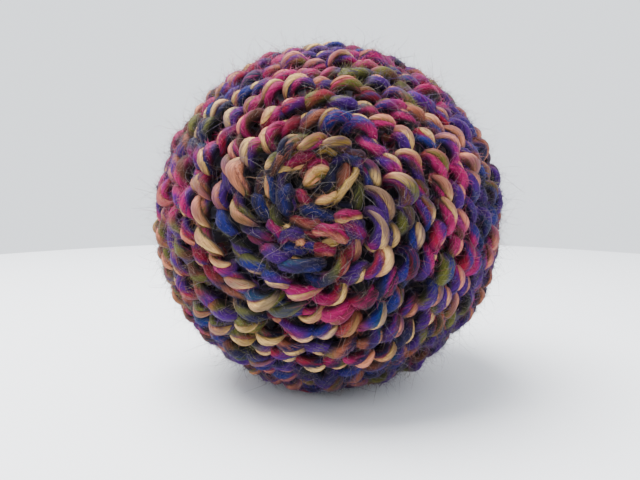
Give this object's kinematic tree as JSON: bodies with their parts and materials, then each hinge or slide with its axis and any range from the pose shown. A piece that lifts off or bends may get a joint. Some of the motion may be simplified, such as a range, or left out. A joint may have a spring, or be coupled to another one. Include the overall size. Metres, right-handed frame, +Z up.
{
  "type": "juggling ball",
  "caption": "Round hand-knitted juggling ball with gathered poles and a lined, padded core that holds a pouch of dried peas.",
  "frame": {"origin": "middle of the flat patch that the ball rests on", "axes": "+Z up through the ball's centre; the knitting's closing pole looks towards -Y, a little up and towards -X"},
  "size_m": [0.07, 0.07, 0.0685],
  "materials": {
    "cover_yarn": "thick soft two-ply yarn, silky, variegated in blue, violet, magenta, olive and tan",
    "liner_nylon": "fine dark stocking knit",
    "wadding_fibre": "matt white fibre wadding",
    "pouch_cotton": "plain unbleached cotton",
    "sewing_thread": "twisted cotton thread",
    "dried_pea": "hard matt skin"
  },
  "bodies": {
    "root": {"knitted_cover": "cover_yarn", "closing_ring": "cover_yarn", "closing_knot": "cover_yarn", "closing_tail": "cover_yarn", "starting_ring": "cover_yarn", "starting_tail": "cover_yarn", "stocking_liner": "liner_nylon", "liner_knot": "liner_nylon", "wadding": "wadding_fibre", "bean_pouch": "pouch_cotton", "pouch_seam": "sewing_thread", "pouch_tie": "sewing_thread", "filling_peas": "dried_pea"}
  },
  "joints": []
}
